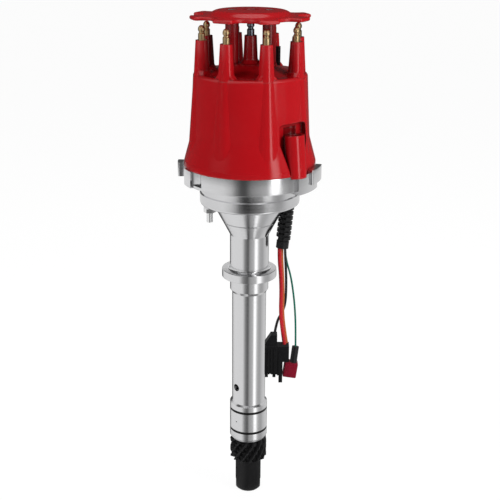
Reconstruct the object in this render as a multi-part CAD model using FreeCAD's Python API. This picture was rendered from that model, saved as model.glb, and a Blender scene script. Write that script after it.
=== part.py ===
import FreeCAD, Part
import math
import os

V = FreeCAD.Vector
ORIGIN = V(0, 0, 0)
UP = V(0, 0, 1)

# Lengths along the shaft, from the hold-down face up (mm)
collar_thickness = 6.9
neck_length = 29.8
cone_height = 27.3
band_height = 9.0
bowl_height = 18.4
rim_height = 13.3

# Lengths along the shaft, from the hold-down face down
pilot_length = 11.2
stem_length = 149.0
journal_length = 33.9
gear_length = 21.2
nose_length = 30.6

# Radii of the housing
bore_radius = 8.0
tube_radius = 14.25
journal_radius = 16.13
pilot_radius = 16.0
collar_radius = 22.7
neck_radius = 16.1
cone_radius = 30.4
band_radius = 40.6
recess_radius = 39.6
rim_radius = 52.8

# Walls and cavity of the bowl
floor_thickness = 4.0
bowl_wall = 4.0
flange_thickness = 4.0
rim_wall = 6.4
bowl_corner_radius = 2.0
cone_ring_height = 11.0
cone_ring_width = 1.0
cone_ring_depth = 0.35

# Rim ears, pads and notches, azimuths in degrees from the front
ear_reach = 5.2
ear_height = 11.6
ear_lip = 2.3
ear_corner_radius = 1.2
right_ear = (58.0, 81.0)
left_ear = (-94.0, -84.0)
lobe_reach = 2.7
lobe_height = 15.2
lobe_start = 43.0
lobe_end = 75.0
pad_reach = 1.6
pad_start = -73.5
pad_end = -59.0
notch_azimuth = -51.8
notch_radius = 7.0
notch_depth = 3.8
notch_height = 10.6

# O-rings, oil hole and bushing pin in the stem
o_ring_section = 2.1
o_ring_play = 0.03
o_ring_offsets = (8.0, 27.2)
oil_hole_radius = 3.25
oil_hole_height = 49.1
oil_hole_azimuth = -48.0
bushing_pin_radius = 0.6
bushing_pin_length = 6.5
bushing_pin_height = 17.7
bushing_pin_azimuth = -40.0
bushing_length = 32.0
bushing_wall = 2.6

# Shaft, bearing and gear
shaft_radius = 6.22
shaft_stub = 1.6
running_clearance = 0.04
bearing_outer_radius = 16.0
bearing_width = 10.0
bearing_ball_radius = 2.9
bearing_ball_count = 9
snap_ring_thickness = 1.2
snap_ring_radius = 17.2
seal_radius = 11.0
seal_length = 6.5
thrust_washer_thickness = 1.2
thrust_washer_radius = 14.6
gear_tip_radius = 15.9
gear_root_radius = 12.3
gear_tooth_count = 13
gear_helix_angle = 36.0
gear_end_chamfer = 1.4
nose_radius = 11.2
nose_chamfer = 1.5
drive_slot_width = 5.6
drive_slot_depth = 8.5
roll_pin_radius = 2.4
roll_pin_height = 15.0

# Trigger and pickup
plate_thickness = 2.0
pickup_plate_radius = 34.5
pickup_plate_bore = 18.0
sleeve_radius = 9.0
reluctor_tooth_count = 8
reluctor_radius = 14.0
reluctor_hub_radius = 11.0
reluctor_height = 9.0
pickup_air_gap = 0.8
pickup_pole_size = 4.0
pickup_coil_size = 11.0
pickup_coil_length = 7.0
pickup_magnet_size = 14.0
module_inner_radius = 20.5
module_outer_radius = 34.0
module_height = 10.0
module_half_angle = 52.0
small_screw_radius = 1.5
small_screw_head_radius = 3.0
small_screw_head_height = 2.0

# Centrifugal advance
weight_plate_radius = 30.0
weight_plate_thickness = 2.6
weight_plate_rise = 0.2
weight_thickness = 5.0
weight_pivot_offset = 22.0
weight_pin_radius = 2.5
weight_inner_radius = 14.0
weight_outer_radius = 29.0
weight_tail_angle = 120.0
weight_head_angle = 25.0
toe_width = 3.1
toe_reach = 5.0
cam_ear_radius = 3.0
cam_ear_offset = 9.5
cam_radius = 8.6
cam_plate_thickness = 1.2
cam_plate_width = 5.0
toe_clearance = 0.35
spring_post_radius = 1.2
spring_post_circle = 15.0
spring_post_azimuth = 240.0
advance_spring_radius = 2.0
advance_spring_wire = 0.45

# Cap
cap_wall = 3.2
cap_overhang = 0.1
cap_skirt_height = 4.2
cap_flare_height = 23.8
cap_flare_draw = 5.6
cap_height = 73.8
cap_deck_draw = 2.5
cap_edge_radius = 2.6
cap_plateau_height = 7.0
cap_plateau_radius = 13.5
cap_plateau_step = 3.2
cap_plateau_blend = 20.0
cap_spigot_depth = 3.0
tower_count = 8
tower_azimuth = 17.6
tower_inset = 5.6
tower_base_radius = 6.3
tower_top_radius = 4.7
tower_height = 25.8
tower_root_radius = 2.2
tower_root_height = 3.0
column_top_radius = 6.7
column_foot_radius = 13.0
column_tip_inset = 3.3
column_length = 62.8
coil_tower_base_radius = 5.8
coil_tower_top_radius = 4.8
coil_tower_height = 21.2
cap_boss_azimuth = 45.4
cap_boss_radius = 8.3
cap_boss_height = 33.0
cap_boss_overhang = 2.0
cap_boss_lean = 3.2
cap_recess_height = 5.6
cap_niche_half_width = 13.6
cap_niche_top = 39.8
cap_niche_shoulder = 25.0
cap_niche_inset = 4.9
cap_niche_corner = 3.5
cap_screw_inset = 3.0
cap_screw_radius = 2.1
cap_screw_head_radius = 4.0
cap_screw_head_height = 3.2
cap_screw_seat_depth = 6.0
cap_screw_grip = 9.0

# Wire retainer over the towers
retainer_gap = 40.9
retainer_thickness = 2.8
retainer_hub_height = 6.8
retainer_hub_inset = 5.8
retainer_hub_slope = 6.0
retainer_hub_blend = 9.0
retainer_overhang = 8.2
retainer_scallop_radius = 9.5
retainer_scallop_offset = 6.8
retainer_edge_radius = 1.2
retainer_corner_radius = 2.5
retainer_recess_radius = 6.0
retainer_recess_depth = 1.2
retainer_post_radius = 5.3
retainer_pad_radius = 6.2
retainer_post_offset = 14.4
retainer_screw_radius = 1.6
retainer_screw_head_radius = 3.4
retainer_screw_sink = 1.8
retainer_screw_head_height = 1.6

# Terminals, rotor and carbon button
terminal_radius = 2.7
terminal_reach = 11.0
terminal_waist_radius = 2.0
terminal_inner_length = 16.8
coil_terminal_radius = 2.9
coil_terminal_reach = 10.3
coil_socket_radius = 4.4
coil_socket_length = 13.0
button_radius = 2.8
button_length = 7.0
button_stand_out = 3.6
rotor_base_radius = 30.0
rotor_base_height = 3.5
rotor_neck_radius = 15.0
rotor_wall = 2.2
rotor_top_radius = 21.0
rotor_arm_height = 5.0
rotor_gap = 0.8
rotor_drop = 14.3
rotor_post_radius = 2.2
rotor_post_circle = 26.5
rotor_post_azimuth = 137.0
blade_thickness = 1.4
blade_width = 8.0

# Boot, leads and connectors
boot_top = V(31.3, 4.7, 64.5)
boot_bottom = V(27.2, 2.6, 23.6)
boot_core_radius = 4.4
boot_rib_radius = 6.0
boot_rib_pitch = 4.3
boot_rib_thickness = 2.5
boot_rib_count = 7
boot_collar_radius = 5.2
boot_collar_length = 6.0
boot_hole_share = 0.12
thick_lead_radius = 1.6
black_lead_radius = 1.1
green_lead_radius = 0.8
vent_plug_radius = 1.8
vent_plug_height = 16.2
vent_plug_inset = 3.8
vent_plug_azimuth = 141.0
ground_stud_radius = 2.5
ground_stud_root_radius = 2.2
ground_stud_length = 8.6
ground_nut_width = 8.6
ground_nut_height = 3.4
ground_boss_length = 5.7
ground_stud_offset = 32.7
ground_boss_wall = 0.6
floor_screw_azimuths = (-38.0, 38.0, 155.0, 205.0)
floor_screw_depth = 5.0
screw_head_clearance = 0.3
stack_gap = 0.4
rim_clearance = 0.3
black_connector_width = 10.3
black_connector_depth = 8.0
black_connector_height = 36.0
black_connector_lead_offset = V(8.4, 6.4, 0)
black_connector_slope_width = 5.0
black_connector_slope_height = 8.0
black_connector_collar = 2.2
black_connector_collar_offset = 24.0
black_connector_groove = 1.1
black_connector_groove_pitch = 2.6
black_connector_groove_length = 23.0
black_connector_prong = 2.6
black_connector_prong_pitch = 6.4
black_connector_prong_length = 3.6
lead_plug_gap = 0.15
lead_plug_width = 10.0
lead_plug_depth = 10.4
lead_plug_height = 14.0
lead_plug_skirt_width = 4.8
lead_plug_skirt_length = 13.0
plug_latch_width = 3.2
red_connector_width = 11.4
red_connector_depth = 9.4
red_connector_height = 13.4
red_connector_tilt = 8.0
red_connector_offset = V(-3.4, -2.3, -13.0)
red_connector_wall = 2.0
red_connector_seal_radius = 3.0
red_connector_seal_foot = V(1.6, 0, -1.0)
red_connector_edge_radius = 1.0

# Radii worked out from the rim and the cap's seat
ear_radius = rim_radius + ear_reach
lobe_radius = rim_radius + lobe_reach
pad_radius = rim_radius + pad_reach
cap_screw_circle_radius = rim_radius - cap_screw_inset
cap_seat_radius = rim_radius + cap_overhang
cap_flare_radius = cap_seat_radius - cap_flare_draw
cap_deck_radius = cap_flare_radius - cap_deck_draw
column_tip_circle_radius = cap_flare_radius + column_tip_inset - column_foot_radius
tower_circle_radius = cap_deck_radius - tower_inset
cap_plateau_foot_radius = tower_circle_radius - cap_plateau_step
cap_niche_radius = cap_flare_radius - cap_niche_inset
retainer_radius = tower_circle_radius + retainer_overhang
retainer_hub_radius = tower_circle_radius - retainer_hub_inset
retainer_scallop_circle = tower_circle_radius + retainer_scallop_offset

# Heights worked out from the lengths above
collar_top_z = collar_thickness
neck_top_z = collar_top_z + neck_length
underside_z = neck_top_z + cone_height
floor_z = underside_z + floor_thickness
ground_seat_z = underside_z - ground_boss_length
band_top_z = underside_z + band_height
rim_bottom_z = underside_z + bowl_height
upper_floor_z = rim_bottom_z + flange_thickness
seat_z = rim_bottom_z + rim_height
deck_z = seat_z + cap_height
plateau_z = deck_z + cap_plateau_height
journal_bottom_z = -stem_length
journal_top_z = journal_bottom_z + journal_length
bearing_top_z = floor_z - snap_ring_thickness - 1.4
bearing_bottom_z = bearing_top_z - bearing_width
seal_bottom_z = bearing_bottom_z - seal_length
gear_top_z = journal_bottom_z - thrust_washer_thickness - 0.2
gear_bottom_z = gear_top_z - gear_length
nose_bottom_z = gear_bottom_z - nose_length
plate_top_z = floor_z + plate_thickness
weight_plate_top_z = upper_floor_z + weight_plate_rise
weight_plate_bottom_z = weight_plate_top_z - weight_plate_thickness
weight_bottom_z = weight_plate_top_z + stack_gap
weight_top_z = weight_bottom_z + weight_thickness
cam_plate_bottom_z = weight_top_z + stack_gap
cam_plate_top_z = cam_plate_bottom_z + cam_plate_thickness
spring_z = cam_plate_top_z + 0.5 + advance_spring_radius
rotor_bottom_z = spring_z + advance_spring_radius + 0.9
rotor_top_z = deck_z - cap_wall - rotor_drop
tower_top_z = deck_z + tower_height
coil_tower_top_z = plateau_z + coil_tower_height
lobe_bottom_z = deck_z + retainer_gap
lobe_top_z = lobe_bottom_z + retainer_thickness
retainer_top_z = lobe_bottom_z + retainer_hub_height

tower_azimuths = [tower_azimuth + 360.0 * k / tower_count for k in range(tower_count)]


def polar(radius, azimuth, z=0.0):
    """Point at a radius and an azimuth, counted from the front (-Y) towards +X."""
    angle = math.radians(azimuth)
    return V(radius * math.sin(angle), -radius * math.cos(angle), z)


def face_of(points):
    """Flat face inside a closed loop of corners."""
    return Part.Face(Part.makePolygon(points + points[:1]))


def lathe(profile):
    """Solid of revolution about the shaft axis from (radius, height) corners."""
    return face_of([V(radius, 0, z) for radius, z in profile]).revolve(ORIGIN, UP, 360)


def rod(radius, bottom_z, top_z, centre=ORIGIN):
    """Upright round bar between two heights."""
    return Part.makeCylinder(radius, top_z - bottom_z, V(centre.x, centre.y, bottom_z))


def ring(inner, outer, bottom_z, top_z):
    """Upright flat ring between two heights."""
    return rod(outer, bottom_z, top_z).cut(rod(inner, bottom_z, top_z))


def sector(inner, outer, bottom_z, top_z, start, end):
    """Part of a ring between two azimuths."""
    edge = face_of([polar(inner, start, bottom_z), polar(outer, start, bottom_z),
                    polar(outer, start, top_z), polar(inner, start, top_z)])
    return edge.revolve(ORIGIN, UP, end - start)


def rod_between(radius, start, end):
    """Round bar from one point to another."""
    along = end - start
    return Part.makeCylinder(radius, along.Length, start, along)


def block(width, depth, height, centre, bottom_z):
    """Upright box about a centre, standing on a height."""
    return Part.makeBox(width, depth, height,
                        V(centre.x - width / 2, centre.y - depth / 2, bottom_z))


def turned(shape, angle, centre=ORIGIN):
    """Copy of a shape, turned about an upright line."""
    copy = shape.copy()
    copy.rotate(centre, UP, angle)
    return copy


def aimed(shape, start, end):
    """Copy of a shape built up from the origin along +Z, laid from start towards end."""
    copy = shape.copy()
    turn = FreeCAD.Rotation(UP, end - start)
    copy.Placement = FreeCAD.Placement(start, turn)
    return copy


def pair(shape):
    """A shape and its opposite across the shaft."""
    return [shape, turned(shape, 180)]


def joined(shapes):
    """One solid from touching or overlapping shapes."""
    return shapes[0].multiFuse(shapes[1:]).removeSplitter()


def round_circles(shape, radius, places):
    """Rounds the full circular edges at the given (radius, height) places."""
    edges = []
    for edge in shape.Edges:
        curve = edge.Curve
        if not isinstance(curve, Part.Circle):
            continue
        for place_radius, place_z in places:
            if abs(curve.Radius - place_radius) < 0.01 and abs(curve.Center.z - place_z) < 0.01:
                edges.append(edge)
    return shape.makeFillet(radius, edges)


def screw(head_radius, head_height, shank_radius, seat_z, shank_length, centre):
    """Screw standing on a seat, with a slotted round head."""
    head = rod(head_radius, seat_z, seat_z + head_height, centre)
    slot = block(2.4 * head_radius, 0.24 * head_radius, head_height, centre, seat_z + 0.55 * head_height)
    shank = rod(shank_radius, seat_z - shank_length, seat_z, centre)
    return joined([head.cut(slot), shank])


def save(name, shapes):
    """Writes one node, a single solid or a group of separate solids."""
    solids = shapes if isinstance(shapes, list) else [shapes]
    shape = solids[0] if len(solids) == 1 else Part.makeCompound(solids)
    shape.exportStep("parts/" + name + ".step")


def housing_outline():
    """Turned outside of the housing, from the journal's lower end up to the cap seat."""
    o_ring_groove = o_ring_section * 1.05
    corners = [(0, journal_bottom_z), (journal_radius - 0.8, journal_bottom_z),
               (journal_radius, journal_bottom_z + 0.8)]
    for offset in o_ring_offsets:
        low = journal_bottom_z + offset - o_ring_groove / 2
        floor = journal_radius - o_ring_section
        corners += [(journal_radius, low), (floor, low),
                    (floor, low + o_ring_groove), (journal_radius, low + o_ring_groove)]
    corners += [(journal_radius, journal_top_z - 1.2), (tube_radius, journal_top_z),
                (tube_radius, -pilot_length - (pilot_radius - tube_radius) * 1.5),
                (pilot_radius, -pilot_length), (pilot_radius, 0),
                (collar_radius, 0), (collar_radius, collar_top_z),
                (neck_radius, collar_top_z), (neck_radius, neck_top_z)]
    corners += cone_ring()
    corners += [(cone_radius, underside_z), (band_radius, underside_z),
                (band_radius, band_top_z), (recess_radius, band_top_z + 1.0),
                (recess_radius, rim_bottom_z), (rim_radius, rim_bottom_z),
                (rim_radius, seat_z), (0, seat_z)]
    solid = lathe(corners)
    solid = round_circles(solid, bowl_corner_radius, [(band_radius, underside_z)])
    solid = round_circles(solid, 2.0, [(neck_radius, collar_top_z)])
    solid = round_circles(solid, 0.5, [(collar_radius, 0), (collar_radius, collar_top_z)])
    return round_circles(solid, 1.0, [(rim_radius, rim_bottom_z), (recess_radius, rim_bottom_z)])


def cone_ring():
    """Corners of the shallow ring turned into the cone under the bowl."""
    slope = (cone_radius - neck_radius) / cone_height
    low = neck_radius + slope * cone_ring_height
    high = low + slope * cone_ring_width
    low_z = neck_top_z + cone_ring_height
    high_z = low_z + cone_ring_width
    return [(low, low_z), (low - cone_ring_depth, low_z + cone_ring_depth),
            (high - cone_ring_depth, high_z - cone_ring_depth), (high, high_z)]


def housing_cavity():
    """Turned inside of the housing: bowl, bearing pocket, seal pocket, bore and bushing seat."""
    bushing_radius = shaft_radius + running_clearance + bushing_wall
    inner = recess_radius - bowl_wall
    upper = rim_radius - rim_wall
    return lathe([(0, journal_bottom_z), (bushing_radius, journal_bottom_z),
                  (bushing_radius, journal_bottom_z + bushing_length),
                  (bore_radius, journal_bottom_z + bushing_length + 1.0),
                  (bore_radius, seal_bottom_z), (seal_radius, seal_bottom_z),
                  (seal_radius, bearing_bottom_z), (bearing_outer_radius, bearing_bottom_z),
                  (bearing_outer_radius, bearing_top_z), (snap_ring_radius, bearing_top_z),
                  (snap_ring_radius, bearing_top_z + snap_ring_thickness),
                  (bearing_outer_radius, bearing_top_z + snap_ring_thickness),
                  (bearing_outer_radius, floor_z), (inner, floor_z), (inner, upper_floor_z),
                  (upper, upper_floor_z), (upper, seat_z), (0, seat_z)])


def ear(start, end):
    """Ear with its raised lip, outside the rim between two azimuths, with rounded outer corners."""
    inside = rim_radius - rim_wall
    bottom_z = seat_z + ear_lip - ear_height
    shape = sector(inside, ear_radius, bottom_z, seat_z + ear_lip, start, end)
    shape = shape.cut(rod(cap_seat_radius + rim_clearance, seat_z, seat_z + ear_lip))
    corners = [edge for edge in shape.Edges if edge.BoundBox.XLength + edge.BoundBox.YLength < 0.01
               and math.hypot(edge.BoundBox.XMax, edge.BoundBox.YMax) > ear_radius - 0.1]
    return shape.makeFillet(ear_corner_radius, corners)


def rim_features():
    """Ears with their lips, thick lobes and clamp pads that stand out of the rim."""
    inside = rim_radius - rim_wall
    features = [ear(*right_ear), ear(*left_ear)]
    features += pair(sector(inside, lobe_radius, seat_z - lobe_height, seat_z, lobe_start, lobe_end))
    features += pair(sector(inside, pad_radius, rim_bottom_z, seat_z, pad_start, pad_end))
    return features


def housing_cuts():
    """Oil hole, bushing pin hole, rim notches, boss pockets and screw holes."""
    cuts = [rod_between(oil_hole_radius,
                        polar(bore_radius - 2, oil_hole_azimuth, journal_bottom_z + oil_hole_height),
                        polar(tube_radius + 2, oil_hole_azimuth, journal_bottom_z + oil_hole_height))]
    pin_z = journal_bottom_z + bushing_pin_height
    cuts.append(rod_between(bushing_pin_radius,
                            polar(journal_radius - bushing_pin_length - 0.4, bushing_pin_azimuth, pin_z),
                            polar(journal_radius + 1, bushing_pin_azimuth, pin_z)))
    notch_centre = polar(rim_radius + notch_radius - notch_depth, notch_azimuth)
    cuts += pair(rod(notch_radius, seat_z - notch_height, seat_z + 1, notch_centre))
    cuts += pair(cap_boss(rim_clearance, seat_z - cap_boss_overhang))
    screw_centre = polar(cap_screw_circle_radius, cap_boss_azimuth)
    hole_bottom = seat_z - cap_boss_overhang - cap_screw_grip
    cuts += pair(rod(cap_screw_radius, hole_bottom, seat_z, screw_centre))
    beyond = boot_top + (boot_top - boot_bottom) * boot_hole_share
    cuts.append(rod_between(boot_core_radius - 0.6, boot_bottom, beyond))
    for centre in floor_screw_centres():
        cuts.append(rod(small_screw_radius, floor_z - floor_screw_depth, floor_z, centre))
    return cuts


def floor_screw_centres():
    """Places of the screws that go through the pickup plate into the bowl floor."""
    radius = (module_inner_radius + module_outer_radius) / 2
    return [polar(radius, azimuth) for azimuth in floor_screw_azimuths]


def housing():
    """Bowl, rim, cone, neck, hold-down collar, tube and journal, machined from one casting."""
    stud_centre = V(-ground_stud_offset, 0, 0)
    ground_boss = rod(ground_nut_width / 2 + ground_boss_wall, ground_seat_z, floor_z - 1.0, stud_centre)
    solid = joined([housing_outline(), ground_boss])
    solid = solid.cut(housing_cavity())
    solid = joined([solid] + [feature.cut(housing_cavity()) for feature in rim_features()])
    for cut in housing_cuts():
        solid = solid.cut(cut)
    return solid.cut(rod(ground_stud_root_radius, ground_seat_z, floor_z - 2.0, stud_centre))


def o_ring(offset):
    """Rubber ring lying in its groove, flush with the journal."""
    section = o_ring_section / 2
    return Part.makeTorus(journal_radius - section, section - o_ring_play, V(0, 0, journal_bottom_z + offset))


def lower_bushing():
    """Bronze bush in the journal, with the blind hole of its lock pin."""
    bore = shaft_radius + running_clearance
    bush = ring(bore, bore + bushing_wall, journal_bottom_z, journal_bottom_z + bushing_length)
    pin_hole = bushing_pin(0.0)
    return bush.cut(pin_hole)


def bushing_pin(recess=0.4):
    """Small pin that locks the bush, a little under the journal's surface."""
    pin_z = journal_bottom_z + bushing_pin_height
    inner = journal_radius - bushing_pin_length - 0.4
    return rod_between(bushing_pin_radius, polar(inner, bushing_pin_azimuth, pin_z),
                       polar(journal_radius - recess, bushing_pin_azimuth, pin_z))


def bearing_centre():
    """Radius of the ball circle and height of the balls."""
    return (bearing_outer_radius + shaft_radius) / 2, (bearing_top_z + bearing_bottom_z) / 2


def raceway():
    """Ring of round section in which the balls run."""
    ball_circle, ball_z = bearing_centre()
    return Part.makeTorus(ball_circle, bearing_ball_radius + running_clearance, V(0, 0, ball_z))


def bearing_outer_race():
    """Outer ring of the upper ball bearing."""
    ball_circle, ball_z = bearing_centre()
    inner = ball_circle + bearing_ball_radius * 0.55
    return ring(inner, bearing_outer_radius, bearing_bottom_z, bearing_top_z).cut(raceway())


def bearing_inner_race():
    """Inner ring of the upper ball bearing, on the shaft."""
    ball_circle, ball_z = bearing_centre()
    outer = ball_circle - bearing_ball_radius * 0.55
    return ring(shaft_radius, outer, bearing_bottom_z, bearing_top_z).cut(raceway())


def bearing_balls():
    """Balls of the upper bearing, evenly spaced."""
    ball_circle, ball_z = bearing_centre()
    step = 360.0 / bearing_ball_count
    return [Part.makeSphere(bearing_ball_radius, polar(ball_circle, step * k, ball_z))
            for k in range(bearing_ball_count)]


def bearing_snap_ring():
    """Open spring ring over the bearing's outer race."""
    whole = ring(bearing_outer_radius - 2.4, snap_ring_radius, bearing_top_z,
                 bearing_top_z + snap_ring_thickness)
    return whole.cut(block(6.0, 30.0, 10.0, V(0, 20.0, 0), bearing_top_z - 1))


def shaft_seal():
    """Oil seal round the shaft under the bearing."""
    lip = shaft_radius + running_clearance
    return lathe([(lip, seal_bottom_z + 2.0), (lip + 1.2, seal_bottom_z), (seal_radius, seal_bottom_z),
                  (seal_radius, bearing_bottom_z), (lip + 2.2, bearing_bottom_z),
                  (lip + 2.2, seal_bottom_z + 3.4),
                  (lip, seal_bottom_z + 3.0)])


def main_shaft():
    """Steel shaft from the slotted lower end up to the advance cam."""
    shaft = rod(shaft_radius, nose_bottom_z, cam_plate_top_z + shaft_stub)
    return shaft.cut(drive_slot()).cut(roll_pin())


def drive_slot():
    """Slot across the lower end that drives the oil pump."""
    return block(2.4 * nose_radius, drive_slot_width, 2 * drive_slot_depth, ORIGIN,
                 nose_bottom_z - drive_slot_depth)


def roll_pin():
    """Cross pin that holds the gear on the shaft."""
    pin_z = nose_bottom_z + roll_pin_height
    return rod_between(roll_pin_radius, V(-nose_radius + 0.3, 0, pin_z), V(nose_radius - 0.3, 0, pin_z))


def gear_tooth_wire(turn, z):
    """Toothed outline of the gear at one height, turned by the helix."""
    pitch = 360.0 / gear_tooth_count
    root_half = 0.19 * pitch
    tip_half = 0.11 * pitch
    corners = []
    for tooth in range(gear_tooth_count):
        middle = turn + tooth * pitch
        corners += [polar(gear_root_radius, middle - pitch / 2 + root_half, z),
                    polar(gear_tip_radius, middle - tip_half, z),
                    polar(gear_tip_radius, middle + tip_half, z),
                    polar(gear_root_radius, middle + pitch / 2 - root_half, z)]
    return Part.makePolygon(corners + corners[:1])


def drive_gear():
    """Right-hand helical gear with its long plain hub."""
    twist = math.degrees(gear_length * math.tan(math.radians(gear_helix_angle)) / gear_tip_radius)
    sections = 6
    wires = []
    for k in range(sections):
        share = k / (sections - 1)
        wires.append(gear_tooth_wire(twist * share, gear_bottom_z + gear_length * share))
    teeth = Part.makeLoft(wires, True, False)
    blank = lathe([(0, gear_bottom_z), (gear_root_radius, gear_bottom_z),
                   (gear_tip_radius + 0.1, gear_bottom_z + gear_end_chamfer),
                   (gear_tip_radius + 0.1, gear_top_z - 2 * gear_end_chamfer),
                   (gear_root_radius + 0.6, gear_top_z), (0, gear_top_z)])
    hub = lathe([(0, nose_bottom_z), (nose_radius - nose_chamfer, nose_bottom_z),
                 (nose_radius, nose_bottom_z + nose_chamfer), (nose_radius, gear_bottom_z + 1.0),
                 (0, gear_bottom_z + 1.0)])
    gear = teeth.common(blank).fuse(hub)
    return gear.cut(rod(shaft_radius, nose_bottom_z, gear_top_z)).cut(drive_slot()).cut(roll_pin())


def thrust_washer():
    """Washer between the gear and the end of the journal."""
    bottom = gear_top_z + 0.1
    return ring(shaft_radius, thrust_washer_radius, bottom, bottom + thrust_washer_thickness)


def shaft_snap_ring():
    """Spring ring on the shaft over the bearing's inner race."""
    return ring(shaft_radius, shaft_radius + 1.6, bearing_top_z, bearing_top_z + 1.0)


def trigger_sleeve():
    """Sleeve on the shaft that carries the reluctor under the weight plate."""
    return ring(shaft_radius + running_clearance, sleeve_radius, bearing_top_z + 1.4, weight_plate_bottom_z)


def weight_plate():
    """Plate on top of the sleeve that carries the flyweights and the rotor."""
    plate = ring(shaft_radius + running_clearance, weight_plate_radius,
                 weight_plate_bottom_z, weight_plate_top_z)
    for centre in weight_pivots():
        plate = plate.cut(rod(weight_pin_radius, weight_plate_bottom_z, weight_plate_top_z, centre))
    for centre in rotor_screw_centres():
        plate = plate.cut(rod(small_screw_radius, weight_plate_bottom_z, weight_plate_top_z, centre))
    return plate


def reluctor():
    """Eight-pointed trigger wheel on the sleeve."""
    bottom = plate_top_z + 3.0
    wheel = ring(sleeve_radius, reluctor_hub_radius, bottom, bottom + reluctor_height)
    tooth = block(3.0, reluctor_radius - sleeve_radius, reluctor_height,
                  V(0, (reluctor_radius + sleeve_radius) / 2 + 0.4, 0), bottom)
    teeth = [turned(tooth, 360.0 * k / reluctor_tooth_count) for k in range(reluctor_tooth_count)]
    reach = ring(sleeve_radius, reluctor_radius, bottom, bottom + reluctor_height)
    return joined([wheel] + [tooth.common(reach) for tooth in teeth])


def weight_pivots():
    """Centres of the two flyweight pivots."""
    return [V(0, weight_pivot_offset, 0), V(0, -weight_pivot_offset, 0)]


def rotor_screw_centres():
    """Centres of the two posts and screws that hold the rotor on the weight plate."""
    return [polar(rotor_post_circle, rotor_post_azimuth), polar(rotor_post_circle, rotor_post_azimuth + 180)]


def weight_pivot_pins():
    """Pins on which the flyweights turn, with thin ends that hold the springs."""
    pins = []
    for centre in weight_pivots():
        pin = rod(weight_pin_radius, weight_plate_bottom_z, cam_plate_bottom_z, centre)
        post = rod(spring_post_radius, cam_plate_bottom_z, rotor_bottom_z - stack_gap, centre)
        pins.append(joined([pin, post]))
    return pins


def rotor_posts():
    """Two posts that carry the rotor clear of the weights."""
    posts = []
    for centre in rotor_screw_centres():
        post = rod(rotor_post_radius, weight_plate_top_z, rotor_bottom_z, centre)
        foot = rod(small_screw_radius, weight_plate_bottom_z, weight_plate_top_z, centre)
        posts.append(joined([post, foot]).cut(rod(0.9, rotor_bottom_z - 6.0, rotor_bottom_z, centre)))
    return posts


def flyweight():
    """Crescent weight on the left of the rear pivot, with the toe that pushes the cam."""
    pivot = weight_pivots()[0]
    body = sector(weight_inner_radius, weight_outer_radius, weight_bottom_z, weight_top_z,
                  180.0 - weight_head_angle, 180.0 + weight_tail_angle)
    toe_left = cam_ear_radius + toe_clearance
    toe = block(toe_width, toe_reach + 3.0, weight_thickness,
                V(toe_left + toe_width / 2, weight_inner_radius - toe_reach + (toe_reach + 3.0) / 2, 0),
                weight_bottom_z)
    bore = rod(weight_pin_radius + running_clearance, weight_bottom_z, weight_top_z, pivot)
    return joined([body, toe]).cut(bore)


def advance_cam():
    """Two-eared cam fixed on the shaft."""
    shapes = [rod(cam_radius, weight_bottom_z, weight_top_z),
              block(2 * cam_ear_radius, 2 * cam_ear_offset, weight_thickness, ORIGIN, weight_bottom_z)]
    shapes += [rod(cam_ear_radius, weight_bottom_z, weight_top_z, V(0, y, 0))
               for y in (-cam_ear_offset, cam_ear_offset)]
    return joined(shapes).cut(rod(shaft_radius, weight_bottom_z, weight_top_z))


def spring_post_centres():
    """Places of the two posts on the cam plate."""
    first = polar(spring_post_circle, spring_post_azimuth)
    return [first, V(-first.x, -first.y, 0)]


def cam_plate():
    """Plate on top of the cam with two arms and the posts of the springs."""
    arm = block(2 * spring_post_circle, cam_plate_width, cam_plate_thickness, ORIGIN, cam_plate_bottom_z)
    shapes = [rod(shaft_radius + 3.0, cam_plate_bottom_z, cam_plate_top_z),
              turned(arm, spring_post_azimuth - 90.0)]
    for centre in spring_post_centres():
        shapes.append(rod(cam_plate_width / 2, cam_plate_bottom_z, cam_plate_top_z, centre))
        shapes.append(rod(spring_post_radius, cam_plate_top_z, rotor_bottom_z - stack_gap, centre))
    return joined(shapes).cut(rod(shaft_radius, cam_plate_bottom_z, cam_plate_top_z))


def cam_clip():
    """Spring ring that holds the cam plate on the shaft's upper end."""
    return ring(shaft_radius, shaft_radius + 1.8, cam_plate_top_z, cam_plate_top_z + 0.9)


def advance_spring():
    """Tension spring from the rear pivot pin to its post on the cam plate."""
    pin = weight_pivots()[0]
    post = spring_post_centres()[0]
    start = V(pin.x, pin.y, spring_z)
    end = V(post.x, post.y, spring_z)
    along = (end - start).normalize()
    length = (end - start).Length
    hook = spring_post_radius
    coil_start = start + along * (0.2 * length)
    coil_end = end - along * (0.2 * length)
    coil = rod_between(advance_spring_radius, coil_start, coil_end)
    return joined([coil, rod_between(advance_spring_wire, start + along * hook, end - along * hook)])


def rotor():
    """Moulded rotor with its base plate, hollow neck, crown and arm."""
    base_top_z = rotor_bottom_z + rotor_base_height
    crown_z = rotor_top_z - rotor_arm_height
    body = lathe([(0, rotor_bottom_z), (rotor_base_radius, rotor_bottom_z), (rotor_base_radius, base_top_z),
                  (rotor_neck_radius + 7.0, base_top_z), (rotor_neck_radius, crown_z - 8.0),
                  (rotor_top_radius, crown_z), (rotor_top_radius, rotor_top_z), (0, rotor_top_z)])
    arm = block(blade_width + 4.0, rotor_tip_radius() - 3.0, rotor_arm_height,
                V(0, -(rotor_tip_radius() - 3.0) / 2, 0), crown_z)
    hollow = lathe([(0, rotor_bottom_z), (rotor_neck_radius + 7.0 - rotor_wall, rotor_bottom_z),
                    (rotor_neck_radius + 7.0 - rotor_wall, base_top_z - rotor_wall),
                    (rotor_neck_radius - rotor_wall, crown_z - 8.0),
                    (rotor_neck_radius - rotor_wall, crown_z), (0, crown_z)])
    solid = joined([body, arm]).cut(hollow)
    for centre in rotor_screw_centres():
        solid = solid.cut(rod(1.0, rotor_bottom_z, base_top_z, centre))
    return solid


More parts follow.
